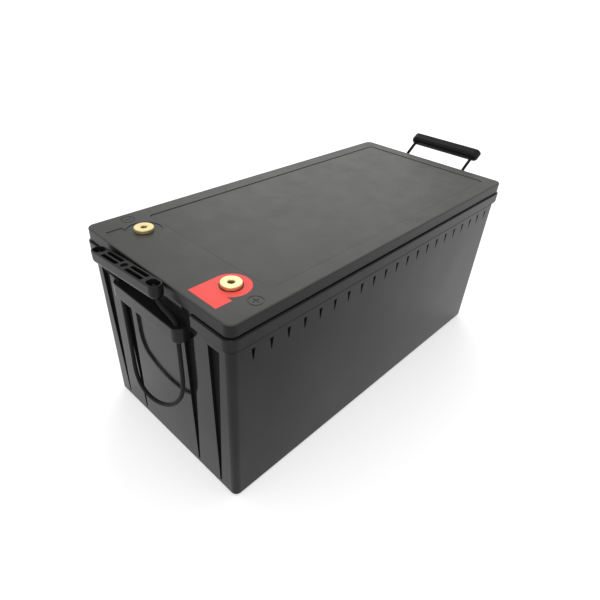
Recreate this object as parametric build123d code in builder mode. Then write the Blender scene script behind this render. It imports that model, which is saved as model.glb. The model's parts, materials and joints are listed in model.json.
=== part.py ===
from build123d import *
from math import atan, cos, degrees, pi, radians, sin, tan
import os

# A deep cycle battery in a moulded case, with a rope handle at each end.
# The origin is at the centre of the base. X runs along the case, with both terminals
# at the -X end, called the near end, and Z is up. Sizes are in millimetres.

# ---------------------------------------------------------------- case
case_length = 522.0  # over the flange
case_width = 250.0  # over the flange
case_height = 243.0  # base to the top of the lid
corner_radius = 9.0  # upright corners of the lid
edge_radius = 1.6  # soft top edges of the lid and the flange

lid_inset = 2.0  # lid inside the flange, each side
lid_height = 13.3  # top of the lid to the lower edge of its skirt
lid_plate = 4.0
lid_skirt = 2.7
seam_gap = 1.7  # open seam between the skirt and the flange
flange_height = 17.0
flange_reach = 3.5  # flange beyond the walls below it, each side
flange_slope_height = 4.0  # sloped underside of the flange
flange_slope_inset = 2.6
wall_draft = 1.0  # the walls lean out by this much from base to flange
base_edge_radius = 4.0
side_wall = 4.5
end_wall = 7.5
floor_thickness = 4.5
cavity_corner_radius = 4.0
rim_clearance = 0.3  # rim of the case inside the lid skirt
seal_height = 2.5
seal_width = 3.0
seal_inset = 0.5  # seal inside the edge of the rim

groove_count = 21  # short tapered grooves under the flange on each long side
groove_end_margin = 30.0  # last grooves to the ends of the flange
groove_pitch = (case_length - 2 * groove_end_margin) / (groove_count - 1)
groove_top_width = 5.0
groove_foot_width = 0.9
groove_height = 13.5
groove_drop = 6.5  # flange down to the top of the grooves
groove_depth = 2.2

slot_depth = 4.0  # long tapered slots in the end walls
slot_drop = 7.0  # flange down to the top of the slots
slot_foot_height = 9.0  # base up to the point of the slots
slot_foot_width = 2.6

# ---------------------------------------------------------------- terminals
terminal_inset = 45.0  # middle of the terminals from the end of the flange
terminal_x = -(case_length / 2 - terminal_inset)
terminal_spacing = case_width - 102.0
terminal_head_radius = 10.8
terminal_head_height = 3.8
terminal_head_chamfer = 0.6
terminal_shank_radius = 7.0
terminal_shank_length = 31.0
terminal_bore_radius = 3.4  # core of the M8 thread
terminal_bore_depth = 20.0
terminal_bore_chamfer = 0.9
terminal_hole_clearance = 0.15
terminal_seal_height = 1.0
terminal_seal_radius = 9.6
boss_radius = 15.0
boss_height = 9.0
nut_across_flats = 22.0
nut_height = 6.0
nut_clearance = 0.1

# ---------------------------------------------------------------- lid features
label_recess_start = terminal_x + 23.0
label_recess_end = case_length / 2 - 23.0
label_recess_width = case_width - 45.4
label_recess_depth = 0.7
label_recess_radius = 5.0
label_groove_width = 0.9  # fine groove round the floor of the recess
label_groove_depth = 0.6
flag_recess_depth = 0.8  # shallow flag shape around each terminal
flag_start = terminal_x - 34.5
flag_end = terminal_x - 15.5
flag_width = 40.6
flag_round_radius = 20.3
marker_clearance = 0.15
marker_hole_radius = 12.0
mark_offset = 34.0  # polarity mark beyond the terminal
mark_radius = 8.0
mark_line = 1.2
mark_bar_length = 8.0
mark_depth = 0.5

# ---------------------------------------------------------------- handles
bar_length = 0.48 * case_width
bar_reach = 13.5  # bar beyond the end wall
bar_height = 17.0
bar_end_radius = 9.0
bar_edge_radius = 1.2
bar_gap = 3.0  # underside of the flange down to the top of the bar
pocket_margin = 9.0  # gap in the flange beyond each end of the bar
rope_diameter = 5.0
rope_end_inset = 8.5  # rope from each end of the bar
rope_hole_clearance = 0.6  # around the rope in the bar
rope_offset = 7.0  # rope beyond the end wall
rope_split_depth = 8.5  # top of the bar down to where the near rope is divided

knot_radius = rope_diameter - 0.2
knot_rise = knot_radius - 1.4  # middle of the knot above the floor of its cell
knot_clearance = 0.7  # between a knot and the sides of its cell
grip_overhang = 0.5  # grip beyond each end of the bar
grip_wall = 2.0
grip_width = 2 * (knot_radius + knot_clearance + grip_wall)
grip_depth = 15.0
grip_hull_radius = 5.6
grip_rim_radius = 0.5
grip_floor = 5.0
end_cell_length = 16.0
slot_cell_depth = 9.0
slot_cell_radius = 1.4
grip_rib = 2.0  # ribs between the cells
grip_end_rib = 5.5  # between a slot cell and an end cell
button_radius = 4.0  # round dimple in the middle of the grip
button_depth = 2.0
grip_hole_clearance = 0.5

near_grip_offset = 24.0  # the stowed grip has slipped towards +Y
near_grip_out = grip_width / 2 - 3.0  # beyond the rope holes
near_grip_rise = 33.5  # rim above the bar
near_grip_tilt = 4.8  # degrees, its -Y end is the higher one
far_grip_out = 44.9  # the raised grip leans out from the far end
far_grip_rise = 50.9
far_grip_lean = 58.5  # degrees from upright
near_end_lifts = (4.5, 3.5)  # straight rope above the bar, at -Y and +Y
far_end_lift = 15.4
near_end_drop = 4.5  # straight rope below the grip
far_end_drop = 28.0  # corner of the rope below its cell

# ---------------------------------------------------------------- cell stack
cell_count = 4
cell_length = (case_length - 234.0) / cell_count  # along X
cell_width = case_width - 76.0
cell_height = case_height - 43.0
cell_edge_radius = 2.0
cell_post_spacing = cell_width - 60.0
cell_post_radius = 8.0
cell_post_height = 5.0
cell_stud_radius = 3.0
cell_stud_height = 12.0
cell_spacer = 1.5
end_plate = 4.0
far_end_room = 76.75  # last cell to the far end of the flange
base_foam_height = 5.0
strap_heights = (40.0, cell_height - 50.0)  # above the foot of the cells
strap_width = 12.0
strap_thickness = 0.8
busbar_thickness = 2.0
busbar_width = 20.0
stud_clearance = 0.15
stud_nut_height = 4.5
stud_nut_across_flats = 10.0
foam_gap = 0.4
side_foam_drop = 10.0  # below the top of the cells
far_foam_drop = 5.0

# ---------------------------------------------------------------- electronics and leads
bracket_thickness = 2.0
bracket_width = cell_width - 6.0
bracket_height = 116.0
bms_height_above_base = case_height - 95.0
bms_flange_thickness = 3.0
bms_flange_width = bracket_width - 4.0
bms_flange_height = 112.0
bms_body_width = bms_flange_width - 26.0
bms_body_height = 100.0
bms_body_thickness = 19.0
bms_groove_count = 9  # cooling grooves in the lower half of the face
bms_groove_width = 4.0
bms_groove_depth = 5.0
bms_groove_margin = 5.0
screw_radius = 2.0
screw_head_radius = 3.6
screw_head_height = 2.6
screw_clearance = 0.15
screw_inset = 6.0  # from the edges of the flange
screw_end_gap = 1.0  # tip short of the far side of the end plate
module_size = (6.0, 40.0, 26.0)
module_radius = 3.0
module_place = (32.0, 30.0)  # across and above the middle of the electronics
lead_diameter = 9.0
lead_end_run = 24.0  # straight out of a lug
lug_plate = 2.0
lug_ring_margin = 6.0
lug_barrel_radius = 5.6
lug_barrel_length = 18.0
lug_tail_width = 10.0
lug_step = 3.0  # edge of the ring to the barrel
ribbon_width = 9.0
ribbon_thickness = 1.2
ribbon_branch_width = 3.0
ribbon_offset = 24.0
ribbon_overrun = 20.0  # beyond the middle of the last cell
ribbon_post_gap = 0.5
top_foam_thickness = 12.0
top_foam_width = 76.0
top_foam_inset = 10.0  # from each end of the stack

# ---------------------------------------------------------------- worked out from the above
half_length = case_length / 2
lid_length = case_length - 2 * lid_inset
lid_width = case_width - 2 * lid_inset
lid_bottom = case_height - lid_height
lid_underside = case_height - lid_plate
flange_top = lid_bottom - seam_gap
flange_bottom = flange_top - flange_height
wall_end = half_length - flange_reach  # end wall, just under the flange
wall_side = case_width / 2 - flange_reach
draft_angle = degrees(atan(wall_draft / flange_bottom))
body_radius = corner_radius - flange_reach + lid_inset
base_length = 2 * (wall_end - wall_draft)
base_width = 2 * (wall_side - wall_draft)
cavity_length = base_length - 2 * end_wall
cavity_width = base_width - 2 * side_wall
slot_middle = bar_length / 2
# Each slot across the wall: inner top corner, outer top corner, foot.
inner_slot = (slot_middle - 10.5, slot_middle + 7.5, slot_middle - 4.5)
outer_slot = (wall_side - 33.0, wall_side - 16.0, wall_side - 26.0)
rim_length = lid_length - 2 * (lid_skirt + rim_clearance)
rim_width = lid_width - 2 * (lid_skirt + rim_clearance)
rim_top = lid_underside - seal_height

terminal_side = terminal_spacing / 2
flag_floor = case_height - flag_recess_depth
terminal_head_bottom = flag_floor + terminal_seal_height
terminal_top = terminal_head_bottom + terminal_head_height
boss_bottom = lid_underside - boss_height
terminal_lug_height = boss_bottom - lug_plate / 2

bar_top = flange_bottom - bar_gap
bar_bottom = bar_top - bar_height
rope_x = wall_end + rope_offset
rope_spacing = bar_length - 2 * rope_end_inset
rope_y = rope_spacing / 2
rope_split = bar_top - rope_split_depth
swing_height = bar_top + 0.6  # the far rope bends just above the bar
swing_gap = 0.3  # between its two lengths
pocket_half_width = bar_length / 2 + pocket_margin
grip_length = bar_length + 2 * grip_overhang
block_half = button_radius + 2 * grip_rib
slot_cell_length = rope_y - end_cell_length / 2 - grip_end_rib - block_half
end_cell_depth = grip_depth - grip_floor

cell_foot = floor_thickness + base_foam_height
cell_top = cell_foot + cell_height
cell_pitch = cell_length + cell_spacer
stack_length = cell_count * cell_length + (cell_count - 1) * cell_spacer
stack_centre = half_length - far_end_room - stack_length / 2
cell_places = [stack_centre + (i - (cell_count - 1) / 2) * cell_pitch for i in range(cell_count)]
stack_near = stack_centre - stack_length / 2 - end_plate
stack_far = stack_centre + stack_length / 2 + end_plate
post_y = cell_post_spacing / 2
post_top = cell_top + cell_post_height
bracket_back = stack_near - strap_thickness
bracket_front = bracket_back - bracket_thickness
bms_front = bracket_front - bms_flange_thickness
bms_face = bms_front - bms_body_thickness
bms_top = bms_height_above_base + bms_body_height / 2
module_front = bms_face - module_size[0]
cell_lug_height = post_top + busbar_thickness / 2


def save(part, name):
    part.label = name
    export_step(part, f"parts/{name}.step")


def rounded_block(length, width, radius, bottom, top, mode=Mode.ADD):
    """Upright block centred on the origin, with rounded upright corners."""
    with BuildSketch(Plane.XY.offset(bottom)) as outline:
        RectangleRounded(length, width, radius)
    extrude(outline.sketch, amount=top - bottom, mode=mode)


def end_plane(side):
    """Plane on an end wall, just under the flange, facing out, with its Y upwards."""
    return Plane(origin=(side * wall_end, 0, 0), x_dir=(0, side, 0), z_dir=(side, 0, 0))


def side_plane(side):
    """Plane on a long wall, just under the flange, facing out, with its Y upwards."""
    return Plane(origin=(0, side * wall_side, 0), x_dir=(-side, 0, 0), z_dir=(0, side, 0))


# ---------------------------------------------------------------- case and lid
def tapered_outline(top_left, top_right, top, foot, foot_width, bottom):
    """Face of a groove or slot that narrows downwards."""
    Polygon(
        (top_left, top),
        (top_right, top),
        (foot + foot_width / 2, bottom),
        (foot - foot_width / 2, bottom),
        align=None,
    )


def cut_end_slots(side):
    top = flange_bottom - slot_drop
    with BuildSketch(end_plane(side)) as slots:
        for inner, outer, foot in (inner_slot, outer_slot):
            tapered_outline(inner, outer, top, foot, slot_foot_width, slot_foot_height)
        mirror(about=Plane.YZ)
    extrude(slots.sketch, amount=-slot_depth, mode=Mode.SUBTRACT)


def cut_side_grooves(side):
    top = flange_bottom - groove_drop
    half = groove_top_width / 2
    with BuildSketch(side_plane(side)) as grooves:
        with GridLocations(groove_pitch, 0, groove_count, 1):
            tapered_outline(-half, half, top, 0, groove_foot_width, top - groove_height)
    extrude(grooves.sketch, amount=-groove_depth, mode=Mode.SUBTRACT)


def add_handle_bar(side):
    with BuildPart(mode=Mode.PRIVATE) as bar:
        with BuildSketch(Plane.XY.offset(bar_bottom)):
            with Locations((side * wall_end, 0)):
                RectangleRounded(2 * bar_reach, bar_length, bar_end_radius)
        extrude(amount=bar_height)
        fillet(bar.edges().group_by(Axis.Z)[-1] + bar.edges().group_by(Axis.Z)[0], bar_edge_radius)
        with BuildSketch(Plane.XY.offset(bar_top)):
            with Locations((side * rope_x, 0)):
                with GridLocations(0, rope_spacing, 1, 2):
                    Circle(rope_diameter / 2 + rope_hole_clearance)
        extrude(amount=-bar_height, mode=Mode.SUBTRACT)
    add(bar.part)


with BuildPart() as case_tub:
    with BuildSketch():
        RectangleRounded(base_length, base_width, body_radius)
    extrude(amount=flange_bottom, taper=-draft_angle)
    fillet(case_tub.edges().group_by(Axis.Z)[0], base_edge_radius)
    with BuildSketch(Plane.XY.offset(flange_bottom)):
        RectangleRounded(
            case_length - 2 * flange_slope_inset,
            case_width - 2 * flange_slope_inset,
            corner_radius + lid_inset - flange_slope_inset,
        )
    slope_angle = degrees(atan(flange_slope_inset / flange_slope_height))
    extrude(amount=flange_slope_height, taper=-slope_angle)
    rounded_block(
        case_length,
        case_width,
        corner_radius + lid_inset,
        flange_bottom + flange_slope_height,
        flange_top,
    )
    fillet(case_tub.edges().group_by(Axis.Z)[-1], edge_radius)
    rim_radius = corner_radius - lid_skirt - rim_clearance
    rounded_block(rim_length, rim_width, rim_radius, flange_top, rim_top)
    for side in (-1, 1):
        cut_end_slots(side)
        cut_side_grooves(side)
        with BuildSketch(Plane.XY.offset(flange_bottom)):
            with Locations((side * (wall_end + flange_reach), 0)):
                Rectangle(2 * flange_reach, 2 * pocket_half_width)
        extrude(amount=flange_height, mode=Mode.SUBTRACT)
        add_handle_bar(side)
    rounded_block(
        cavity_length, cavity_width, cavity_corner_radius, floor_thickness, rim_top, Mode.SUBTRACT
    )
save(case_tub.part, "case_tub")


def flag_outline(side, clearance=0.0):
    """Flag shape around a terminal: a rectangle that runs into a disc. Its inner edge runs
    straight on to the disc, and its outer edge has a notch before it."""
    with Locations(((flag_start + flag_end) / 2, 0)):
        Rectangle(flag_end - flag_start - 2 * clearance, flag_width - 2 * clearance)
    with Locations(((flag_start + terminal_x) / 2, -side * flag_width / 4)):
        Rectangle(terminal_x - flag_start - 2 * clearance, flag_width / 2 - 2 * clearance)
    with Locations((terminal_x, 0)):
        Circle(flag_round_radius - clearance)


def terminal_plane(side, height):
    return Plane.XY.offset(height).move(Location((0, side * terminal_side, 0)))


def mark_outline(side):
    """Moulded polarity mark: a ring around a bar, or a cross at the positive side."""
    Circle(mark_radius)
    Circle(mark_radius - mark_line, mode=Mode.SUBTRACT)
    Rectangle(mark_bar_length, mark_line)
    if side < 0:
        Rectangle(mark_line, mark_bar_length)


def cut_label_recess():
    """Flat shallow recess for a label, with a fine groove round its floor."""
    middle = Location(((label_recess_start + label_recess_end) / 2, 0, case_height))
    length, radius = label_recess_end - label_recess_start, label_recess_radius
    with BuildSketch(Plane(middle)) as recess:
        RectangleRounded(length, label_recess_width, radius)
    extrude(recess.sketch, amount=-label_recess_depth, mode=Mode.SUBTRACT)
    with BuildSketch(Plane(middle)) as groove:
        RectangleRounded(length, label_recess_width, radius)
        RectangleRounded(
            length - 2 * label_groove_width,
            label_recess_width - 2 * label_groove_width,
            radius - label_groove_width,
            mode=Mode.SUBTRACT,
        )
    depth = label_recess_depth + label_groove_depth
    extrude(groove.sketch, amount=-depth, mode=Mode.SUBTRACT)


with BuildPart() as lid:
    rounded_block(lid_length, lid_width, corner_radius, lid_bottom, case_height)
    fillet(lid.edges().group_by(Axis.Z)[-1], edge_radius)
    rounded_block(
        lid_length - 2 * lid_skirt,
        lid_width - 2 * lid_skirt,
        corner_radius - lid_skirt,
        lid_bottom,
        lid_underside,
        Mode.SUBTRACT,
    )
    cut_label_recess()
    for side in (-1, 1):
        with BuildSketch(terminal_plane(side, lid_underside)):
            with Locations((terminal_x, 0)):
                Circle(boss_radius)
        extrude(amount=-boss_height)
        with BuildSketch(terminal_plane(side, case_height)):
            flag_outline(side)
        extrude(amount=-flag_recess_depth, mode=Mode.SUBTRACT)
        with BuildSketch(terminal_plane(side, case_height)):
            with Locations((terminal_x, 0)):
                Circle(terminal_shank_radius + terminal_hole_clearance)
        extrude(amount=boss_bottom - case_height, mode=Mode.SUBTRACT)
        with BuildSketch(terminal_plane(side, case_height)):
            with Locations((terminal_x, side * mark_offset)):
                mark_outline(side)
        extrude(amount=-mark_depth, mode=Mode.SUBTRACT)
save(lid.part, "lid")

with BuildPart() as lid_seal:
    with BuildSketch(Plane.XY.offset(rim_top)):
        for inset, mode in ((seal_inset, Mode.ADD), (seal_inset + seal_width, Mode.SUBTRACT)):
            sizes = (rim_length - 2 * inset, rim_width - 2 * inset)
            RectangleRounded(*sizes, rim_radius - inset, mode=mode)
    extrude(amount=seal_height)
save(lid_seal.part, "lid_seal")

with BuildPart() as positive_marker:
    with BuildSketch(terminal_plane(-1, flag_floor)):
        flag_outline(-1, marker_clearance)
        with Locations((terminal_x, 0)):
            Circle(marker_hole_radius, mode=Mode.SUBTRACT)
    extrude(amount=flag_recess_depth)
save(positive_marker.part, "positive_marker")


# ---------------------------------------------------------------- terminals
def make_terminal(side):
    with BuildPart() as terminal:
        with BuildSketch(terminal_plane(side, terminal_head_bottom)):
            with Locations((terminal_x, 0)):
                Circle(terminal_head_radius)
        extrude(amount=terminal_head_height)
        chamfer(terminal.edges().group_by(Axis.Z)[-1], terminal_head_chamfer)
        with BuildSketch(terminal_plane(side, terminal_head_bottom)):
            with Locations((terminal_x, 0)):
                Circle(terminal_shank_radius)
        extrude(amount=-terminal_shank_length)
        with BuildSketch(terminal_plane(side, terminal_top)):
            with Locations((terminal_x, 0)):
                Circle(terminal_bore_radius)
        extrude(amount=-terminal_bore_depth, mode=Mode.SUBTRACT)
        mouth = terminal.edges().filter_by(GeomType.CIRCLE).group_by(Axis.Z)[-1].sort_by(SortBy.RADIUS)
        chamfer(mouth[0], terminal_bore_chamfer)
    return terminal.part


save(make_terminal(-1), "positive_terminal")
save(make_terminal(1), "negative_terminal")

with BuildPart() as terminal_seals:
    for side in (-1, 1):
        with BuildSketch(terminal_plane(side, flag_floor)):
            with Locations((terminal_x, 0)):
                Circle(terminal_seal_radius)
                Circle(terminal_shank_radius + terminal_hole_clearance, mode=Mode.SUBTRACT)
        extrude(amount=terminal_seal_height)
save(terminal_seals.part, "terminal_seals")

with BuildPart() as terminal_nuts:
    for side in (-1, 1):
        with BuildSketch(terminal_plane(side, boss_bottom - lug_plate)):
            with Locations((terminal_x, 0)):
                RegularPolygon(nut_across_flats / 2, 6, major_radius=False)
                Circle(terminal_shank_radius + nut_clearance, mode=Mode.SUBTRACT)
        extrude(amount=-nut_height)
save(terminal_nuts.part, "terminal_nuts")


# ---------------------------------------------------------------- handles
near_tilt = radians(near_grip_tilt)
near_grip_frame = Plane(
    origin=(-rope_x - near_grip_out, near_grip_offset, bar_top + near_grip_rise),
    x_dir=(0, -cos(near_tilt), sin(near_tilt)),
    z_dir=(0, sin(near_tilt), cos(near_tilt)),
)
far_lean = radians(far_grip_lean)
far_grip_frame = Plane(
    origin=(rope_x + far_grip_out, 0, bar_top + far_grip_rise),
    x_dir=(0, 1, 0),
    z_dir=(sin(far_lean), 0, cos(far_lean)),
)


def make_grip(frame):
    """Boat-shaped grip in its own frame: the rim is at z = 0 and the cells open upwards."""
    slot_centre = block_half + slot_cell_length / 2
    slot_width = (grip_width - 2 * grip_wall - grip_rib) / 2
    slot_y = (slot_width + grip_rib) / 2
    with BuildPart() as grip:
        with BuildSketch(frame):
            SlotOverall(grip_length, grip_width)
        extrude(amount=-grip_depth)
        upwards = Axis(frame.origin, frame.z_dir)
        fillet(grip.faces().sort_by(upwards)[0].edges(), grip_hull_radius)
        fillet(grip.faces().sort_by(upwards)[-1].edges(), grip_rim_radius)
        with BuildSketch(frame):
            with GridLocations(2 * slot_centre, 2 * slot_y, 2, 2):
                RectangleRounded(slot_cell_length, slot_width, slot_cell_radius)
        extrude(amount=-slot_cell_depth, mode=Mode.SUBTRACT)
        with BuildSketch(frame):
            with GridLocations(rope_spacing, 0, 2, 1):
                SlotOverall(end_cell_length, grip_width - 2 * grip_wall)
        extrude(amount=-end_cell_depth, mode=Mode.SUBTRACT)
        with BuildSketch(frame):
            with GridLocations(rope_spacing, 0, 2, 1):
                Circle(rope_diameter / 2 + grip_hole_clearance)
        extrude(amount=-grip_depth, mode=Mode.SUBTRACT)
        with BuildSketch(frame):
            Circle(button_radius)
        extrude(amount=-button_depth, mode=Mode.SUBTRACT)
    return grip.part


def make_knots(frame):
    """The knots that hold the rope in the end cells, flat where they sit on the floor."""
    with BuildPart() as knots:
        with BuildSketch(frame.offset(-end_cell_depth)):
            with GridLocations(rope_spacing, 0, 2, 1):
                Circle(knot_radius)
        extrude(amount=2 * knot_radius)
        with BuildPart(mode=Mode.PRIVATE) as balls:
            with Locations(frame.offset(knot_rise - end_cell_depth)):
                with GridLocations(rope_spacing, 0, 2, 1):
                    Sphere(knot_radius)
        add(balls.part, mode=Mode.INTERSECT)
    return knots.part


def arc_radii(points):
    """The largest arc at each corner that its two straight runs leave room for."""
    vectors = [Vector(*point) for point in points]
    radii = []
    for before, corner, after in zip(vectors, vectors[1:], vectors[2:]):
        turn = radians((corner - before).get_angle(after - corner))
        run = min((corner - before).length, (after - corner).length)
        radii.append(0.45 * run / tan(turn / 2))
    return radii


def report_cord(name, path, part, diameter, radii):
    """Prints the arcs of a cord and compares its volume with its section times its length."""
    share = part.volume / (pi * diameter**2 / 4 * path.length)
    print(name, "radii", [round(radius, 1) for radius in radii])
    print(name, "length", round(path.length, 1), "volume share", round(share, 4))


def make_cord(points, diameter, name):
    """Round cord along straight runs joined by arcs."""
    radii = arc_radii(points)
    with BuildPart() as cord:
        with BuildLine() as route:
            FilletPolyline(*points, radius=radii)
        path = route.wire()
        with BuildSketch(Plane(origin=path @ 0, z_dir=path % 0)):
            Circle(diameter / 2)
        sweep(path=path)
    report_cord(name, path, cord.part, diameter, radii)
    return cord.part


def in_frame(frame, x, z):
    """Point on the middle line of a grip, as a plain tuple."""
    return tuple(frame.from_local_coords((x, 0, z)))


save(make_grip(near_grip_frame), "near_grip")
save(make_grip(far_grip_frame), "far_grip")
save(make_knots(near_grip_frame), "near_knots")
save(make_knots(far_grip_frame), "far_knots")


def loop_route(side, top, corners):
    """Route of a slack loop from hole to hole. Each corner is its share of the way from the
    middle to a hole, how far it leans out beyond the holes, and its drop below the top."""
    ends = [(-1.0, 0, 0), (1.0, 0, 0)]
    return [
        (side * (rope_x + lean), share * rope_y, top - drop)
        for share, lean, drop in (ends[0], *corners, ends[1])
    ]


# The near loop hangs slack below its bar and leans out a little.
near_loop_route = loop_route(
    -1,
    rope_split,
    [
        (-1.0, 0, 80.5),
        (-0.74, 5, 105.5),
        (-0.27, 8.5, 120.5),
        (0.27, 9.5, 124.5),
        (0.72, 7, 114.5),
        (1.0, 0, 87.5),
    ],
)
near_rope_loop = make_cord(near_loop_route, rope_diameter, "near_rope_loop")
save(near_rope_loop, "near_rope_loop")

# Each near end leans across from the bar to its knot in the slipped grip.
near_end_routes = [
    [
        (-rope_x, side * rope_y, rope_split),
        (-rope_x, side * rope_y, bar_top + lift),
        in_frame(near_grip_frame, -side * rope_y, -grip_depth - near_end_drop),
        in_frame(near_grip_frame, -side * rope_y, -end_cell_depth),
    ]
    for side, lift in zip((-1, 1), near_end_lifts)
]
with BuildPart() as near_rope_ends:
    for route in near_end_routes:
        add(make_cord(route, rope_diameter, "near_rope_end"))
save(near_rope_ends.part, "near_rope_ends")

# The far ends rise from the bar and lean out to the raised grip.
far_end_routes = [
    [
        (rope_x, side * rope_y, swing_height),
        (rope_x + 1, side * rope_y, swing_height + far_end_lift),
        in_frame(far_grip_frame, side * rope_y, -end_cell_depth - far_end_drop),
        in_frame(far_grip_frame, side * rope_y, -end_cell_depth),
    ]
    for side in (-1, 1)
]
with BuildPart() as far_rope_ends:
    for route in far_end_routes:
        add(make_cord(route, rope_diameter, "far_rope_end"))
save(far_rope_ends.part, "far_rope_ends")

# The far loop is shorter, because more of its rope is drawn up through the bar.
far_loop_top = swing_height - swing_gap
far_loop_route = loop_route(
    1,
    far_loop_top,
    [
        (-1.0, 0, 70.3),
        (-0.78, 3, 92.3),
        (-0.31, 5, 104.3),
        (0.23, 5.5, 105.3),
        (0.7, 3.5, 95.3),
        (1.0, 0, 72.3),
    ],
)
save(make_cord(far_loop_route, rope_diameter, "far_rope_loop"), "far_rope_loop")


# ---------------------------------------------------------------- cell stack
def box_between(low, high, mode=Mode.ADD):
    """Box from its lowest to its highest corner."""
    sizes = [b - a for a, b in zip(low, high)]
    with Locations(tuple((a + b) / 2 for a, b in zip(low, high))):
        Box(*sizes, mode=mode)


for number, place in enumerate(cell_places, start=1):
    with BuildPart() as cell:
        with BuildSketch(Plane.XY.offset(cell_foot)):
            with Locations((place, 0)):
                RectangleRounded(cell_length, cell_width, cell_edge_radius)
        extrude(amount=cell_height)
        for radius, height in (
            (cell_post_radius, cell_post_height),
            (cell_stud_radius, cell_post_height + cell_stud_height),
        ):
            with BuildSketch(Plane.XY.offset(cell_top)):
                with Locations((place, 0)):
                    with GridLocations(0, cell_post_spacing, 1, 2):
                        Circle(radius)
            extrude(amount=height)
    save(cell.part, f"cell_{number}")

for number in range(1, cell_count):
    gap_start = cell_places[number - 1] + cell_length / 2
    with BuildPart() as spacer:
        half = cell_width / 2
        box_between(
            (gap_start, -half, cell_foot), (gap_start + cell_spacer, half, cell_top)
        )
    save(spacer.part, f"cell_spacer_{number}")

screw_y = bms_flange_width / 2 - screw_inset
screw_z = bms_flange_height / 2 - screw_inset
screw_places = [
    (across * screw_y, bms_height_above_base + up * screw_z) for across in (-1, 1) for up in (-1, 1)
]


def drill_for_screws(start, end):
    """Clearance holes for the screws between two places along X."""
    with BuildSketch(Plane.YZ.offset(start)) as holes:
        with Locations(*screw_places):
            Circle(screw_radius + screw_clearance)
    extrude(holes.sketch, amount=end - start, mode=Mode.SUBTRACT)


with BuildPart() as near_end_plate:
    half = cell_width / 2
    box_between((stack_near, -half, cell_foot), (stack_near + end_plate, half, cell_top))
    drill_for_screws(stack_near, stack_near + end_plate)
save(near_end_plate.part, "near_end_plate")

with BuildPart() as far_end_plate:
    half = cell_width / 2
    box_between((stack_far - end_plate, -half, cell_foot), (stack_far, half, cell_top))
save(far_end_plate.part, "far_end_plate")

for name, height in zip(("lower_strap", "upper_strap"), strap_heights):
    with BuildPart() as strap:
        with BuildSketch(Plane.XY.offset(cell_foot + height - strap_width / 2)):
            with Locations((stack_centre, 0)):
                length = stack_far - stack_near
                Rectangle(length + 2 * strap_thickness, cell_width + 2 * strap_thickness)
                Rectangle(length, cell_width, mode=Mode.SUBTRACT)
        extrude(amount=strap_width)
    save(strap.part, name)

for number in range(1, cell_count):
    side = 1 if number % 2 else -1
    middle = (cell_places[number - 1] + cell_places[number]) / 2
    with BuildPart() as busbar:
        with BuildSketch(Plane.XY.offset(post_top)):
            with Locations((middle, side * post_y)):
                SlotCenterToCenter(cell_pitch, busbar_width)
                with GridLocations(cell_pitch, 0, 2, 1):
                    Circle(cell_stud_radius + stud_clearance, mode=Mode.SUBTRACT)
        extrude(amount=busbar_thickness)
    save(busbar.part, f"series_busbar_{number}")

with BuildPart() as stud_nuts:
    with BuildSketch(Plane.XY.offset(post_top + busbar_thickness)):
        with Locations((stack_centre, 0)):
            with GridLocations(cell_pitch, cell_post_spacing, cell_count, 2):
                RegularPolygon(stud_nut_across_flats / 2, 6, major_radius=False)
                Circle(cell_stud_radius + stud_clearance, mode=Mode.SUBTRACT)
    extrude(amount=stud_nut_height)
save(stud_nuts.part, "stud_nuts")

# ---------------------------------------------------------------- electronics
bracket_low = bms_height_above_base - bracket_height / 2
bracket_high = bms_height_above_base + bracket_height / 2
with BuildPart() as bms_bracket:
    half = bracket_width / 2
    box_between((bracket_front, -half, bracket_low), (bracket_back, half, bracket_high))
    drill_for_screws(bracket_front, bracket_back)
save(bms_bracket.part, "bms_bracket")

with BuildPart() as bms:
    half = bms_flange_width / 2
    low = bms_height_above_base - bms_flange_height / 2
    box_between((bms_front, -half, low), (bracket_front, half, low + bms_flange_height))
    drill_for_screws(bms_front, bracket_front)
    half = bms_body_width / 2
    low = bms_height_above_base - bms_body_height / 2
    box_between((bms_face, -half, low), (bms_front, half, bms_top))
    with BuildSketch(Plane.YZ.offset(bms_face)):
        with Locations((0, low + bms_body_height / 4)):
            with GridLocations(bms_body_width / (bms_groove_count + 1), 0, bms_groove_count, 1):
                Rectangle(bms_groove_width, bms_body_height / 2 - 2 * bms_groove_margin)
    extrude(amount=bms_groove_depth, mode=Mode.SUBTRACT)
save(bms.part, "bms")

with BuildPart() as bms_screws:
    with BuildSketch(Plane.YZ.offset(bms_front)):
        with Locations(*screw_places):
            Circle(screw_head_radius)
    extrude(amount=-screw_head_height)
    with BuildSketch(Plane.YZ.offset(bms_front)):
        with Locations(*screw_places):
            Circle(screw_radius)
    extrude(amount=stack_near + end_plate - screw_end_gap - bms_front)
save(bms_screws.part, "bms_screws")

module_y, module_z = module_place[0], bms_height_above_base + module_place[1]
with BuildPart() as wireless_module:
    box_between(
        (module_front, module_y - module_size[1] / 2, module_z - module_size[2] / 2),
        (bms_face, module_y + module_size[1] / 2, module_z + module_size[2] / 2),
    )
    fillet(wireless_module.edges().filter_by(Axis.X), module_radius)
save(wireless_module.part, "wireless_module")


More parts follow.
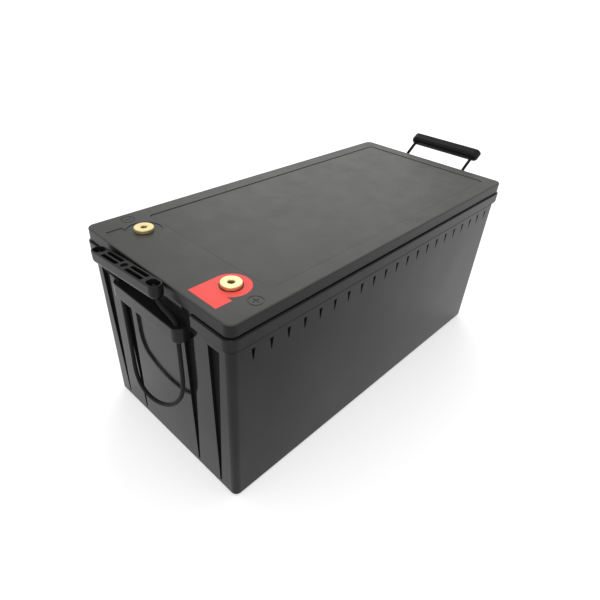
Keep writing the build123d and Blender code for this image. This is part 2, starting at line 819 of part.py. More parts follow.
# ---------------------------------------------------------------- leads
def make_lug(x, y, height, hole_radius, direction):
    """Ring lug, flat about its height, with a barrel towards direction."""
    ring_radius = hole_radius + lug_ring_margin
    turned = Plane(origin=(x, y, height), x_dir=direction, z_dir=(0, 0, 1))
    with BuildPart() as lug:
        with BuildSketch(turned.offset(-lug_plate / 2)):
            Circle(ring_radius)
            with Locations((ring_radius, 0)):
                Rectangle(2 * ring_radius, lug_tail_width)
            Circle(hole_radius, mode=Mode.SUBTRACT)
        extrude(amount=lug_plate)
        start = turned.from_local_coords((ring_radius + lug_step, 0, 0))
        with BuildSketch(Plane(origin=start, z_dir=direction)):
            Circle(lug_barrel_radius)
        extrude(amount=lug_barrel_length)
    end = turned.from_local_coords((ring_radius + lug_step + lug_barrel_length, 0, 0))
    return lug.part, tuple(end)


post_hole = terminal_shank_radius + terminal_hole_clearance
stud_hole = cell_stud_radius + stud_clearance
out_lug, out_end = make_lug(terminal_x, -terminal_side, terminal_lug_height, post_hole, (1, 0, 0))
back_lug, back_end = make_lug(terminal_x, terminal_side, terminal_lug_height, post_hole, (1, 0, 0))
first_lug, first_end = make_lug(cell_places[0], -post_y, cell_lug_height, stud_hole, (-1, 0, 0))
last_lug, last_end = make_lug(cell_places[-1], -post_y, cell_lug_height, stud_hole, (0, 1, 0))
with BuildPart() as lead_lugs:
    for lug in (out_lug, back_lug, first_lug, last_lug):
        add(lug)
save(lead_lugs.part, "lead_lugs")


positive_route = [
    out_end,
    (out_end[0] + lead_end_run, out_end[1], out_end[2]),
    (first_end[0] - lead_end_run, first_end[1], first_end[2]),
    first_end,
]
save(make_cord(positive_route, lead_diameter, "positive_lead"), "positive_lead")

bms_middle = (bms_face + bms_front) / 2
output_route = [
    back_end,
    (back_end[0] + lead_end_run, back_end[1], back_end[2]),
    (bms_middle, back_end[1] - 24, back_end[2] - 2),
    (bms_middle, back_end[1] - 24, bms_top),
]
save(make_cord(output_route, lead_diameter, "output_negative_lead"), "output_negative_lead")

lead_rest = cell_top + lead_diameter / 2 + 0.2
pack_lead_y = 3.15  # it runs over the cells between their two rows of studs
pack_route = [
    last_end,
    (last_end[0], last_end[1] + 14, last_end[2]),
    (last_end[0] - 34, pack_lead_y, lead_rest),
    (stack_near + 20, pack_lead_y + 2, lead_rest + 4),
    (bms_middle, pack_lead_y, lead_rest + 6),
    (bms_middle, pack_lead_y, bms_top),
]
save(make_cord(pack_route, lead_diameter, "pack_negative_lead"), "pack_negative_lead")

with BuildPart() as balance_ribbon:
    with BuildSketch(Plane.XY.offset(cell_top)):
        length = cell_places[-1] + ribbon_overrun - stack_near
        with Locations((stack_near + length / 2, ribbon_offset)):
            Rectangle(length, ribbon_width)
        for index, place in enumerate(cell_places):
            reach = post_y - cell_post_radius - ribbon_post_gap - ribbon_offset
            with Locations((place, ribbon_offset + reach / 2)):
                Rectangle(ribbon_branch_width, reach)
    extrude(amount=ribbon_thickness)
save(balance_ribbon.part, "balance_ribbon")

# ---------------------------------------------------------------- foam packing
cavity_end = cavity_length / 2 - foam_gap
cavity_side = cavity_width / 2 - foam_gap
foam_pieces = {
    "base_foam": ((-cavity_end, -cavity_side, floor_thickness), (cavity_end, cavity_side, cell_foot)),
    "near_end_foam": (
        (-cavity_end, -cavity_side, cell_foot),
        (module_front - foam_gap, cavity_side, cell_top - side_foam_drop),
    ),
    "far_end_foam": (
        (stack_far + strap_thickness + foam_gap, -cavity_side, cell_foot),
        (cavity_end, cavity_side, cell_top - far_foam_drop),
    ),
    "left_side_foam": (
        (stack_near, cell_width / 2 + strap_thickness + foam_gap, cell_foot),
        (stack_far, cavity_side, cell_top - side_foam_drop),
    ),
    "right_side_foam": (
        (stack_near, -cavity_side, cell_foot),
        (stack_far, -cell_width / 2 - strap_thickness - foam_gap, cell_top - side_foam_drop),
    ),
    "top_foam": (
        (stack_near + top_foam_inset, -top_foam_width / 2, lid_underside - top_foam_thickness),
        (stack_far - top_foam_inset, top_foam_width / 2, lid_underside),
    ),
}
for name, (low, high) in foam_pieces.items():
    with BuildPart() as foam:
        box_between(low, high)
        fillet(foam.edges().filter_by(Axis.Z), cavity_corner_radius)
    save(foam.part, name)
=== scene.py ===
import json
import math

import bmesh
import bpy
from mathutils import Matrix, Vector


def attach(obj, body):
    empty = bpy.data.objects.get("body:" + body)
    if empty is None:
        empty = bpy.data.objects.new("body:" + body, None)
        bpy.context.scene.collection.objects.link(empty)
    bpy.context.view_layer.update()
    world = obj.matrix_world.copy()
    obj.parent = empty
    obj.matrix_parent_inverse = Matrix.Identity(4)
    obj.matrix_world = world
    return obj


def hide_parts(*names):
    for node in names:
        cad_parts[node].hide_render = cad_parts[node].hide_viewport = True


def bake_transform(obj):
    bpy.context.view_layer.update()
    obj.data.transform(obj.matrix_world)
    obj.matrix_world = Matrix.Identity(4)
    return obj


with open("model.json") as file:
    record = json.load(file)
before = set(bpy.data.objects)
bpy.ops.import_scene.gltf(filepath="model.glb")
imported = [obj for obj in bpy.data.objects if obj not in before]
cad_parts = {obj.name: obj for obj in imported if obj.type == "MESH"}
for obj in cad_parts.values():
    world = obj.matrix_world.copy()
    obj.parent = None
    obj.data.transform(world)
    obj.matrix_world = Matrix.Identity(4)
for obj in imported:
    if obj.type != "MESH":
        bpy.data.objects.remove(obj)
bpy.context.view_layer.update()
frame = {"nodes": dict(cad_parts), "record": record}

nodes = frame["nodes"]
MM = 0.001

# ---------------------------------------------------------------- sizes shared with the CAD
ROPE_X = 0.2645  # the rope holes, from the middle of the case
ROPE_Y = 0.0515
ROPE_DIAMETER = 0.005
WALL_END_FOOT = 0.2565  # walls of the case at their foot, from its middle
WALL_SIDE_FOOT = 0.1205
WALL_LEAN = 0.001 / 0.211  # they lean out by this much per metre of height
KNOT_DEPTH = 6.6 * MM  # middle of a knot below the open face of its grip
CELL_DEPTH = 10 * MM  # floor of the grip's end cells, where a strand ends, below that face
SLOT_FOOT, SLOT_TOP = 0.007, 0.2060  # the long slots of the end walls
SLOT_REACH, SLOT_SIDE = 0.245, 0.108  # they lie beyond this X and within this Y
GROOVE_FOOT = 0.189  # the short grooves of the long walls, which end at SLOT_TOP too
GROOVE_REACH, GROOVE_END = 0.112, 0.240  # they lie beyond this Y and within this X
WALL_SKIN = 1.2 * MM  # what lies deeper than this below a wall is a hollow's inside
SLOPE_FOOT, SLOPE_TOP = 0.2109, 0.2149  # the sloped underside of the case's flange
LID_SIDE_TOP = 0.2421  # the lid's sides and the bottom of its groove lie below this
TERMINAL_X, TERMINAL_Y = -0.216, 0.074  # the middle of a terminal; the other is at -y


def grip_frame(origin, x_axis, z_axis):
    """The frame of a grip: X along it, Z out of its open face."""
    x, z = Vector(x_axis).normalized(), Vector(z_axis).normalized()
    m = Matrix((x, z.cross(x), z)).transposed().to_4x4()
    m.translation = Vector(origin)
    return m


near_tilt = math.radians(4.8)  # the -Y end of the near grip is the higher one
far_lean = math.radians(58.5)  # the far grip's open face leans out from straight up
near_grip = grip_frame(
    (-0.2690, 0.024, 0.2415),
    (0, -math.cos(near_tilt), math.sin(near_tilt)),
    (0, math.sin(near_tilt), math.cos(near_tilt)),
)
far_grip = grip_frame(
    (0.3094, 0, 0.2589), (0, 1, 0), (math.sin(far_lean), 0, math.cos(far_lean))
)


def in_grip(grip, along, depth):
    """A point of a grip, in the shared frame: along it, and below its open face."""
    return grip @ Vector((along, 0, -depth))


# ---------------------------------------------------------------- camera, light and floor
def place_camera():
    """A camera above the near corner of the battery, looking down along it."""
    data = bpy.data.cameras.new("camera")
    data.lens, data.sensor_width = 28.998, 36.0
    data.clip_start, data.clip_end = 0.01, 50
    place = (-0.45436, -0.37078, 0.49116)
    camera = bpy.data.objects.new("camera", data)
    right, down = Vector((0.68858, -0.72313, 0.05419)), Vector((-0.38243, -0.42562, -0.82012))
    forward = Vector((0.61612, 0.54399, -0.56962))
    turn = Matrix((right, -down, -forward)).transposed()
    camera.matrix_world = Matrix.Translation(place) @ turn.to_4x4()
    bpy.context.scene.collection.objects.link(camera)
    bpy.context.scene.camera = camera


def add_softbox(name, place, aim, size, watts):
    """A square soft light at place, facing aim."""
    data = bpy.data.lights.new(name, "AREA")
    data.shape, data.size, data.energy = "SQUARE", size, watts
    light = bpy.data.objects.new(name, data)
    light.location = place
    light.rotation_mode = "QUATERNION"
    light.rotation_quaternion = (Vector(aim) - Vector(place)).to_track_quat("-Z", "Y")
    bpy.context.scene.collection.objects.link(light)


def new_material(name):
    """An empty node material, with its tree and its principled shader."""
    m = bpy.data.materials.new(name)
    m.use_nodes = True
    tree = m.node_tree
    return m, tree, tree.nodes["Principled BSDF"]


def make_floor():
    """A wide pale floor just under the battery. It glows a little, so that it reads white."""
    half_width, gap = 60.0, 0.4 * MM
    mesh = bpy.data.meshes.new("floor")
    bm = bmesh.new()
    bmesh.ops.create_grid(bm, x_segments=2, y_segments=2, size=half_width)
    bmesh.ops.translate(bm, verts=bm.verts, vec=(0, 0, -gap))
    bm.to_mesh(mesh)
    bm.free()
    floor = bpy.data.objects.new("floor", mesh)
    bpy.context.scene.collection.objects.link(floor)
    m, _, shader = new_material("floor_white")
    shader.inputs["Base Color"].default_value = (0.86, 0.86, 0.86, 1)
    shader.inputs["Roughness"].default_value = 0.9
    shader.inputs["Emission Color"].default_value = (1, 1, 1, 1)
    shader.inputs["Emission Strength"].default_value = 0.34
    mesh.materials.append(m)


def make_light():
    """Even white surroundings, a large softbox that the lid reflects and one in front."""
    world = bpy.data.worlds.new("studio")
    world.use_nodes = True
    background = world.node_tree.nodes["Background"]
    background.inputs["Color"].default_value = (1, 1, 1, 1)
    background.inputs["Strength"].default_value = 0.82
    bpy.context.scene.world = world
    bpy.context.scene.view_settings.view_transform = "Standard"
    add_softbox("softbox_back", place=(1.2, 1.1, 1.5), aim=(0.05, 0, 0.2), size=1.5, watts=11)
    add_softbox("softbox_front", place=(-1.3, -1.0, 1.3), aim=(0, 0, 0.15), size=1.2, watts=9)


# ---------------------------------------------------------------- materials
def node(tree, kind, **values):
    """A shader node with some of its settings and inputs set."""
    n = tree.nodes.new(kind)
    for key, value in values.items():
        if key in n.inputs:
            n.inputs[key].default_value = value
        else:
            setattr(n, key, value)
    return n


def coordinates(tree, scale=(1, 1, 1)):
    """The object's own coordinates, stretched by scale."""
    where = node(tree, "ShaderNodeTexCoord")
    mapping = node(tree, "ShaderNodeMapping")
    mapping.inputs["Scale"].default_value = scale
    tree.links.new(where.outputs["Object"], mapping.inputs["Vector"])
    return mapping.outputs["Vector"]


def noise(tree, vector, scale, detail, roughness):
    """A noise of that many features per metre."""
    n = node(tree, "ShaderNodeTexNoise", Scale=scale, Detail=detail, Roughness=roughness)
    tree.links.new(vector, n.inputs["Vector"])
    return n.outputs["Fac"]


def ramp(tree, value, stops):
    """A colour ramp of (position, grey or colour) stops over value."""
    n = node(tree, "ShaderNodeValToRGB")
    bar = n.color_ramp.elements
    while len(bar) < len(stops):
        bar.new(0.5)
    for stop, (position, colour) in zip(bar, stops):
        stop.position = position
        stop.color = (*colour, 1) if isinstance(colour, tuple) else (colour,) * 3 + (1,)
    tree.links.new(value, n.inputs["Fac"])
    return n.outputs["Color"]


def spread(tree, value, low, high):
    """value from 0.3..0.7, where a noise lies, to low..high."""
    n = node(tree, "ShaderNodeMapRange")
    for key, number in zip(("From Min", "From Max", "To Min", "To Max"), (0.3, 0.7, low, high)):
        n.inputs[key].default_value = number
    tree.links.new(value, n.inputs["Value"])
    return n.outputs["Result"]


def bump(tree, shader, heights):
    """Bumps one above another on the shader's normal: (height, depth in metres, strength)."""
    below = None
    for height, depth, strength in heights:
        n = node(tree, "ShaderNodeBump", Strength=strength, Distance=depth)
        tree.links.new(height, n.inputs["Height"])
        if below is not None:
            tree.links.new(below, n.inputs["Normal"])
        below = n.outputs["Normal"]
    tree.links.new(below, shader.inputs["Normal"])


def mixed(tree, share, one, other):
    """one where share is 0 and other where it is 1. A colour tuple or a socket each."""
    n = node(tree, "ShaderNodeMix", data_type="RGBA")
    tree.links.new(share, n.inputs[0])
    for socket, colour in ((n.inputs[6], one), (n.inputs[7], other)):
        if isinstance(colour, tuple):
            socket.default_value = (*colour, 1)
        else:
            tree.links.new(colour, socket)
    return n.outputs[2]


def moulded(name, dark, light, rough, grain, depth, ior=1.46, ripple=0.0, scratches=0.0):
    """Moulded plastic. dark and light are its colours, rough the range of its roughness,
    grain the size of its texture in metres and depth the texture's height. ripple is the
    height of the slow waves of a glossy wall, and scratches how far scuffs dull it."""
    m, tree, shader = new_material(name)
    place = coordinates(tree)
    cloud = noise(tree, place, scale=14, detail=4, roughness=0.55)
    fine = noise(tree, place, scale=0.5 / grain, detail=2, roughness=0.6)
    tree.links.new(mixed(tree, spread(tree, cloud, 0, 1), dark, light), shader.inputs["Base Color"])
    patches = noise(tree, place, scale=38, detail=5, roughness=0.62)
    smudge = spread(tree, patches, rough[0], rough[1])
    if scratches:
        along_x = coordinates(tree, scale=(9, 260, 260))
        lines = noise(tree, along_x, scale=3.1, detail=4, roughness=0.7)
        cut = ramp(tree, lines, [(0.60, 0.0), (0.72, 1.0)])
        add = node(tree, "ShaderNodeMath", operation="MULTIPLY_ADD")
        tree.links.new(cut, add.inputs[0])
        add.inputs[1].default_value = scratches
        tree.links.new(smudge, add.inputs[2])
        smudge = add.outputs[0]
    tree.links.new(smudge, shader.inputs["Roughness"])
    layers = [(fine, depth, 0.35)]
    if ripple:
        layers.append((noise(tree, place, scale=11, detail=1, roughness=0.4), ripple, 0.5))
    bump(tree, shader, layers)
    shader.inputs["IOR"].default_value = ior
    return m


def compare(tree, value, kind, limit):
    """1 where value is less or greater than limit, and 0 elsewhere."""
    n = node(tree, "ShaderNodeMath", operation=kind)
    tree.links.new(value, n.inputs[0])
    if isinstance(limit, float):
        n.inputs[1].default_value = limit
    else:
        tree.links.new(limit, n.inputs[1])
    return n.outputs[0]


def unsigned(tree, value):
    """The value without its sign."""
    n = node(tree, "ShaderNodeMath", operation="ABSOLUTE")
    tree.links.new(value, n.inputs[0])
    return n.outputs[0]


def combined(tree, kind, *values):
    """Several values taken together, two at a time, by the same operation."""
    result = values[0]
    for value in values[1:]:
        n = node(tree, "ShaderNodeMath", operation=kind)
        tree.links.new(result, n.inputs[0])
        tree.links.new(value, n.inputs[1])
        result = n.outputs[0]
    return result


def split_place(tree, place):
    """The X, Y and Z of a place."""
    split = node(tree, "ShaderNodeSeparateXYZ")
    tree.links.new(place, split.inputs[0])
    return [split.outputs[axis] for axis in "XYZ"]


def shaded_hollows(tree, place):
    """1 inside the slots and grooves of the walls and on the slope under the flange, where the case
    is painted near-black as shade.
    """
    x, y, z = split_place(tree, place)
    x, y = unsigned(tree, x), unsigned(tree, y)
    inside = []
    for reach, foot in ((x, WALL_END_FOOT), (y, WALL_SIDE_FOOT)):
        wall = node(tree, "ShaderNodeMath", operation="MULTIPLY_ADD")
        tree.links.new(z, wall.inputs[0])
        wall.inputs[1].default_value = WALL_LEAN
        wall.inputs[2].default_value = foot - WALL_SKIN
        inside.append(compare(tree, reach, "LESS_THAN", wall.outputs[0]))
    below_top = compare(tree, z, "LESS_THAN", SLOT_TOP)
    slots = combined(
        tree, "MULTIPLY", inside[0], below_top,
        compare(tree, x, "GREATER_THAN", SLOT_REACH),
        compare(tree, y, "LESS_THAN", SLOT_SIDE),
        compare(tree, z, "GREATER_THAN", SLOT_FOOT),
    )
    grooves = combined(
        tree, "MULTIPLY", inside[1], below_top,
        compare(tree, y, "GREATER_THAN", GROOVE_REACH),
        compare(tree, x, "LESS_THAN", GROOVE_END),
        compare(tree, z, "GREATER_THAN", GROOVE_FOOT),
    )
    slope = combined(
        tree, "MULTIPLY",
        compare(tree, z, "GREATER_THAN", SLOPE_FOOT),
        compare(tree, z, "LESS_THAN", SLOPE_TOP),
    )
    return combined(tree, "MAXIMUM", slots, grooves, slope)


def surfaced(m, share, colour, rough):
    """Gives the finish m another colour and roughness where share is 1."""
    tree = m.node_tree
    shader = tree.nodes["Principled BSDF"]
    below = shader.inputs["Base Color"].links[0].from_socket
    tree.links.new(mixed(tree, share, below, colour), shader.inputs["Base Color"])
    smooth = shader.inputs["Roughness"].links[0].from_socket
    other = node(tree, "ShaderNodeMix", data_type="FLOAT")
    tree.links.new(share, other.inputs[0])
    tree.links.new(smooth, other.inputs[2])
    other.inputs[3].default_value = rough
    tree.links.new(other.outputs[0], shader.inputs["Roughness"])


def case_finish():
    """The case: glossy walls with slow ripples, and in its hollows rougher plastic painted
    near-black as shade.
    """
    m = moulded(
        "case_moulding", (0.007, 0.0078, 0.007), (0.013, 0.0142, 0.013), (0.07, 0.13),
        0.5 * MM, 0.010 * MM, ior=1.24, ripple=1.0 * MM, scratches=0.10,
    )
    tree = m.node_tree
    # The near-black colour in the slots, in the grooves and on the slope under the flange is painted
    # shade.
    surfaced(m, shaded_hollows(tree, coordinates(tree)), colour=(0.002, 0.002, 0.002), rough=0.8)
    return m


def metal(name, dark, light, rough, turned=False):
    """Metal. turned adds the fine rings that a lathe leaves on the terminals' faces."""
    m, tree, shader = new_material(name)
    place = coordinates(tree)
    cloud = noise(tree, place, scale=160, detail=4, roughness=0.6)
    tree.links.new(mixed(tree, spread(tree, cloud, 0, 1), dark, light), shader.inputs["Base Color"])
    shader.inputs["Metallic"].default_value = 1.0
    patches = noise(tree, place, scale=420, detail=3, roughness=0.6)
    tree.links.new(spread(tree, patches, rough[0], rough[1]), shader.inputs["Roughness"])
    layers = [(noise(tree, place, scale=500, detail=2, roughness=0.5), 0.02 * MM, 0.15)]
    if turned:
        layers.append((lathe_rings(tree, place), 0.012 * MM, 0.2))
    bump(tree, shader, layers)
    return m


def lathe_rings(tree, place):
    """Fine rings round the upright middle line of each terminal."""
    x, y, _ = split_place(tree, place)
    centred = node(tree, "ShaderNodeCombineXYZ")
    for axis, value, middle in (("X", x, TERMINAL_X), ("Y", unsigned(tree, y), TERMINAL_Y)):
        moved = node(tree, "ShaderNodeMath", operation="ADD")
        tree.links.new(value, moved.inputs[0])
        moved.inputs[1].default_value = -middle
        tree.links.new(moved.outputs[0], centred.inputs[axis])
    rings = node(
        tree, "ShaderNodeTexWave", wave_type="RINGS", rings_direction="Z",
        Scale=330, Distortion=0.3,
    )
    tree.links.new(centred.outputs[0], rings.inputs["Vector"])
    return rings.outputs["Fac"]


def rope_finish():
    """Black braided polyester: darker between the strands, with a soft sheen."""
    m, tree, shader = new_material("rope_braid")
    place = coordinates(tree)
    cloud = noise(tree, place, scale=900, detail=4, roughness=0.7)
    colour = ramp(tree, cloud, [(0.30, (0.0025, 0.0025, 0.003)), (0.72, (0.011, 0.011, 0.012))])
    tree.links.new(colour, shader.inputs["Base Color"])
    tree.links.new(spread(tree, cloud, 0.52, 0.74), shader.inputs["Roughness"])
    shader.inputs["Sheen Weight"].default_value = 0.04
    shader.inputs["Sheen Roughness"].default_value = 0.5
    shader.inputs["Specular IOR Level"].default_value = 0.12
    fuzz = noise(tree, place, scale=2600, detail=2, roughness=0.6)
    bump(tree, shader, [(fuzz, 0.12 * MM, 0.6)])
    return m


def lid_finish():
    """The lid: a grey, finely textured top, and smoother sides painted near-black as shade."""
    m = moulded(
        "lid_moulding", (0.052, 0.053, 0.050), (0.060, 0.061, 0.057), (0.38, 0.46),
        0.45 * MM, 0.05 * MM, ior=1.27, scratches=0.03,
    )
    tree = m.node_tree
    _, _, z = split_place(tree, coordinates(tree))
    sides = compare(tree, z, "LESS_THAN", LID_SIDE_TOP)
    # The near-black colour below LID_SIDE_TOP, on the lid's sides and the bottom of its groove, is
    # painted shade.
    surfaced(m, sides, colour=(0.005, 0.0056, 0.005), rough=0.34)
    return m


# ---------------------------------------------------------------- ropes
def spline_line(points):
    """The line of a NURBS spline with these control points, as close points along it."""
    curve = bpy.data.curves.new("route", "CURVE")
    curve.dimensions = "3D"
    curve.resolution_u = 40
    spline = curve.splines.new("NURBS")
    spline.points.add(len(points) - 1)
    for control, p in zip(spline.points, points):
        control.co = (*p, 1)
    spline.order_u = 3
    spline.use_endpoint_u = True
    route = bpy.data.objects.new("route", curve)
    bpy.context.scene.collection.objects.link(route)
    bpy.context.view_layer.update()
    evaluated = route.evaluated_get(bpy.context.evaluated_depsgraph_get())
    mesh = bpy.data.meshes.new_from_object(evaluated)
    line = [v.co.copy() for v in mesh.vertices]
    bpy.data.objects.remove(route)
    bpy.data.meshes.remove(mesh)
    return line


def evenly(line, step):
    """Points a step apart along line, its two ends included."""
    total = sum((b - a).length for a, b in zip(line, line[1:]))
    count = max(2, round(total / step))
    out, walked, i = [line[0].copy()], 0.0, 0
    for k in range(1, count):
        target = total * k / count
        while walked + (line[i + 1] - line[i]).length < target:
            walked += (line[i + 1] - line[i]).length
            i += 1
        share = (target - walked) / (line[i + 1] - line[i]).length
        out.append(line[i].lerp(line[i + 1], share))
    return out + [line[-1].copy()]


def braid(turn, along, radius):
    """Height of a braid with four strands each way, from 0 to 1, at a place on its tube."""
    strands, lay = 4, 2.4 * radius
    one = math.cos(strands * turn + 2 * math.pi * along / lay)
    other = math.cos(strands * turn - 2 * math.pi * along / lay)
    return 0.5 + 0.5 * one * other


def rope_mesh(name, line, radius, closed=False, relief=0.09, step=0.45 * MM, sides=28):
    """A braided rope along line. radius is a number or a function of the point, and relief
    the depth of the braid as a share of it."""
    points = evenly(line, step)
    if closed:
        points = points[:-1]
    bm = bmesh.new()
    count = len(points)
    normal = None
    rings = []
    for k, p in enumerate(points):
        before = points[k - 1] if closed or k else points[0]
        after = points[(k + 1) % count] if closed or k < count - 1 else points[-1]
        tangent = (after - before).normalized()
        if normal is None:
            normal = tangent.orthogonal().normalized()
        normal = (normal - tangent * normal.dot(tangent)).normalized()
        side = tangent.cross(normal)
        r = radius(p) if callable(radius) else radius
        ring = []
        for s in range(sides):
            turn = 2 * math.pi * s / sides
            height = r * (1 - relief + relief * braid(turn, k * step, r))
            out = normal * math.cos(turn) + side * math.sin(turn)
            ring.append(bm.verts.new(p + out * height))
        rings.append(ring)
    pairs = list(zip(rings, rings[1:])) + ([(rings[-1], rings[0])] if closed else [])
    for one, other in pairs:
        for s in range(sides):
            t = (s + 1) % sides
            bm.faces.new((one[s], one[t], other[t], other[s]))
    if not closed:
        bm.faces.new(list(reversed(rings[0])))
        bm.faces.new(rings[-1])
    bmesh.ops.recalc_face_normals(bm, faces=bm.faces)
    mesh = bpy.data.meshes.new(name)
    bm.to_mesh(mesh)
    bm.free()
    mesh.shade_smooth()
    rope = bpy.data.objects.new(name, mesh)
    bpy.context.scene.collection.objects.link(rope)
    mesh.materials.append(finishes["rope_fibre"])
    return rope


def knot_mesh(name, grip, along):
    """A pulled-tight stopper knot in the end cell of a grip, with its short cut tail."""
    strand, tail_strand, loops = 1.85 * MM, 1.75 * MM, 0.96 * MM
    points = 180
    line = []
    for k in range(points + 1):
        t = 2 * math.pi * k / points
        reach = (2 + math.cos(3 * t)) * loops
        x, y = reach * math.cos(2 * t), reach * math.sin(2 * t)
        line.append(Vector((x, y, loops * math.sin(3 * t))))
    look = {"relief": 0.10, "step": 0.4 * MM, "sides": 20}
    knot = rope_mesh(name, line, strand, closed=True, **look)
    tail_line = [Vector((0.3, 0.2, z)) * MM for z in (-1.5, 0.6, 2.2, 4.1)]
    tail = rope_mesh(name + "_tail", tail_line, tail_strand, **look)
    for piece in (knot, tail):
        piece.matrix_world = Matrix.Translation(in_grip(grip, along, KNOT_DEPTH)) @ (
            grip.to_quaternion().to_matrix().to_4x4()
        )
    bpy.context.view_layer.update()
    tail_mesh = tail.data
    with bpy.context.temp_override(
        active_object=knot, selected_editable_objects=[knot, tail], object=knot
    ):
        bpy.ops.object.join()
    if tail_mesh.users == 0:
        bpy.data.meshes.remove(tail_mesh)
    return knot


def make_near_rope():
    """The rope of the stowed handle: its hanging loop, and the two ends in the grip."""
    x, y = -ROPE_X, ROPE_Y
    top = 0.1995  # where the rope is divided, inside its holes in the bar
    hidden_radius = 2.15 * MM  # of the strands inside the loop's own
    corner_depth = 19.5 * MM  # corner of a strand under the grip, below its open face
    loop_route = [
        (x, -y, top), (x, -y, 0.1695), (x, -y, 0.119), (-0.2695, -0.0381, 0.094),
        (-0.2730, -0.0139, 0.079), (-0.2740, 0.0139, 0.075), (-0.2715, 0.0371, 0.085),
        (x, y, 0.112), (x, y, 0.1695), (x, y, top),
    ]
    line = spline_line(loop_route)
    loop = rope_mesh("near_rope_hanging", line, ROPE_DIAMETER / 2)
    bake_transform(loop)
    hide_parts("near_rope_loop")
    for side, sign, lean_start in (("left", -1, 0.2125), ("right", 1, 0.2115)):
        along = -sign * y
        # Below the split the strand lies inside the loop's own strand, and it shows only
        # when the handle is lifted.
        route = [
            (x - 0.2 * MM, sign * (y - 0.6 * MM), 0.130), (x, sign * y, 0.146),
            (x, sign * y, 0.172), (x, sign * y, top), (x, sign * y, lean_start),
            tuple(in_grip(near_grip, along, corner_depth)),
            tuple(in_grip(near_grip, along, CELL_DEPTH)),
        ]
        line = spline_line(route)
        strand = rope_mesh(
            f"near_rope_end_{side}", line,
            lambda p: hidden_radius if p.z < top - 1 * MM else ROPE_DIAMETER / 2,
        )
        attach(strand, "near_handle")
        if sign < 0:
            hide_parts("near_rope_ends")
        knot = knot_mesh(f"near_knot_{side}", near_grip, along)
        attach(knot, "near_handle")
        if sign < 0:
            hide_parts("near_knots")


def make_far_rope():
    """The rope of the raised handle, one length from knot to knot."""
    x, y = ROPE_X, ROPE_Y
    hinge, above = 0.2086, 0.2210  # the rope bends between these heights as the handle swings
    corner_depth = 38 * MM  # corner of a strand under the grip, below its open face
    route = [
        tuple(in_grip(far_grip, -y, CELL_DEPTH)), tuple(in_grip(far_grip, -y, corner_depth)),
        (0.2655, -y, 0.2240), (x, -y, hinge), (x, -y, 0.1700), (x, -y, 0.138),
        (0.2675, -0.0402, 0.116), (0.2695, -0.0160, 0.104), (0.2700, 0.0118, 0.103),
        (0.2680, 0.0360, 0.113), (x, y, 0.136), (x, y, 0.1700), (x, y, hinge),
        (0.2655, y, 0.2240), tuple(in_grip(far_grip, y, corner_depth)),
        tuple(in_grip(far_grip, y, CELL_DEPTH)),
    ]
    line = spline_line(route)
    rope = rope_mesh("far_rope", line, ROPE_DIAMETER / 2)
    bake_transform(rope)
    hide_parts("far_rope_ends", "far_rope_loop")
    for side, along in (("left", -y), ("right", y)):
        knot = knot_mesh(f"far_knot_{side}", far_grip, along)
        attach(knot, "far_handle")
    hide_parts("far_knots")


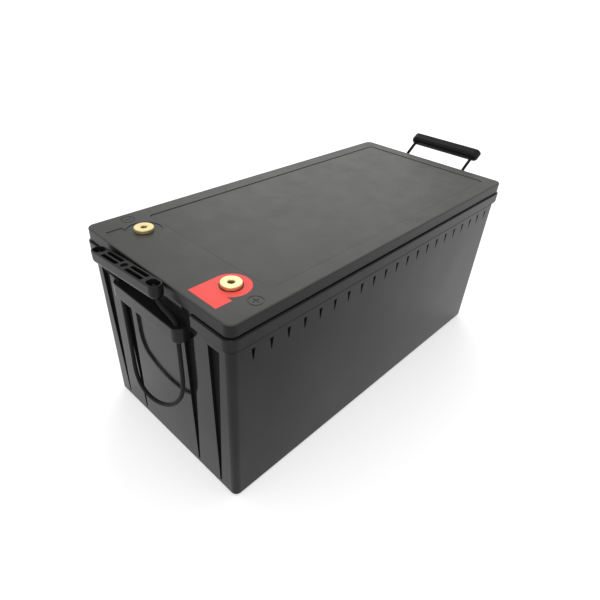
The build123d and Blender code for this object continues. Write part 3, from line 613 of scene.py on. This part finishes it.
# ---------------------------------------------------------------- the finishes of the CAD parts
finishes = {
    "case_plastic": case_finish(),
    "lid_plastic": lid_finish(),
    "handle_plastic": moulded(
        "grip_moulding", (0.006, 0.0066, 0.006), (0.011, 0.0118, 0.011), (0.26, 0.36),
        0.4 * MM, 0.03 * MM, ior=1.22, scratches=0.06,
    ),
    "marker_red": moulded(
        "marker_plastic", (0.84, 0.066, 0.055), (0.92, 0.085, 0.070), (0.36, 0.48),
        0.5 * MM, 0.03 * MM, ior=1.3,
    ),
    "seal_rubber": moulded(
        "seal_rubber_black", (0.008, 0.008, 0.008), (0.014, 0.014, 0.014), (0.6, 0.75),
        0.3 * MM, 0.05 * MM,
    ),
    "cell_wrap": moulded(
        "cell_film_blue", (0.03, 0.14, 0.37), (0.045, 0.18, 0.44), (0.25, 0.38),
        0.6 * MM, 0.03 * MM, ripple=1.0 * MM,
    ),
    "spacer_board": moulded(
        "board_pale", (0.62, 0.61, 0.55), (0.74, 0.73, 0.67), (0.6, 0.75), 0.5 * MM, 0.06 * MM
    ),
    "module_plastic": moulded(
        "module_black", (0.010, 0.010, 0.011), (0.018, 0.018, 0.019), (0.38, 0.5),
        0.4 * MM, 0.04 * MM,
    ),
    "bracket_paint": moulded(
        "bracket_black_paint", (0.07, 0.07, 0.072), (0.11, 0.11, 0.113), (0.38, 0.5),
        0.7 * MM, 0.05 * MM,
    ),
    "lead_red": moulded(
        "lead_silicone_red", (0.42, 0.012, 0.010), (0.52, 0.02, 0.016), (0.45, 0.58),
        0.5 * MM, 0.04 * MM,
    ),
    "lead_black": moulded(
        "lead_silicone_black", (0.008, 0.008, 0.008), (0.014, 0.014, 0.014), (0.45, 0.58),
        0.5 * MM, 0.04 * MM,
    ),
    "ribbon_plastic": moulded(
        "ribbon_pale", (0.68, 0.68, 0.66), (0.78, 0.78, 0.76), (0.42, 0.55), 0.4 * MM, 0.03 * MM
    ),
    "packing_foam": moulded(
        "foam_grey", (0.24, 0.24, 0.25), (0.32, 0.32, 0.33), (0.85, 0.95),
        0.9 * MM, 0.5 * MM,
    ),
    "terminal_brass": metal(
        "terminal_brass_turned", (0.78, 0.64, 0.32), (0.84, 0.72, 0.40), (0.38, 0.48), turned=True
    ),
    "nut_steel": metal("nut_zinc", (0.52, 0.53, 0.55), (0.64, 0.65, 0.67), (0.28, 0.42)),
    "end_plate_aluminium": metal(
        "plate_aluminium", (0.70, 0.71, 0.72), (0.80, 0.81, 0.82), (0.32, 0.48)
    ),
    "strap_steel": metal("strap_steel_band", (0.48, 0.49, 0.50), (0.60, 0.61, 0.62), (0.25, 0.4)),
    "busbar_copper": metal("busbar_copper_bar", (0.80, 0.42, 0.28), (0.90, 0.52, 0.36), (0.25, 0.4)),
    "bms_aluminium": metal(
        "bms_case_anodised", (0.28, 0.29, 0.31), (0.36, 0.37, 0.39), (0.35, 0.5)
    ),
    "lug_tin": metal("lug_tinned", (0.66, 0.66, 0.66), (0.76, 0.76, 0.76), (0.28, 0.4)),
    "rope_fibre": rope_finish(),
}


def dress_nodes():
    """Gives every CAD part the finish of its material slot in the record."""
    slots = {part["node"]: part["material_slot"] for part in frame["record"]["subparts"]}
    for name, thing in nodes.items():
        thing.data.materials.clear()
        thing.data.materials.append(finishes[slots[name]])


place_camera()
make_floor()
make_light()
dress_nodes()
make_near_rope()
make_far_rope()
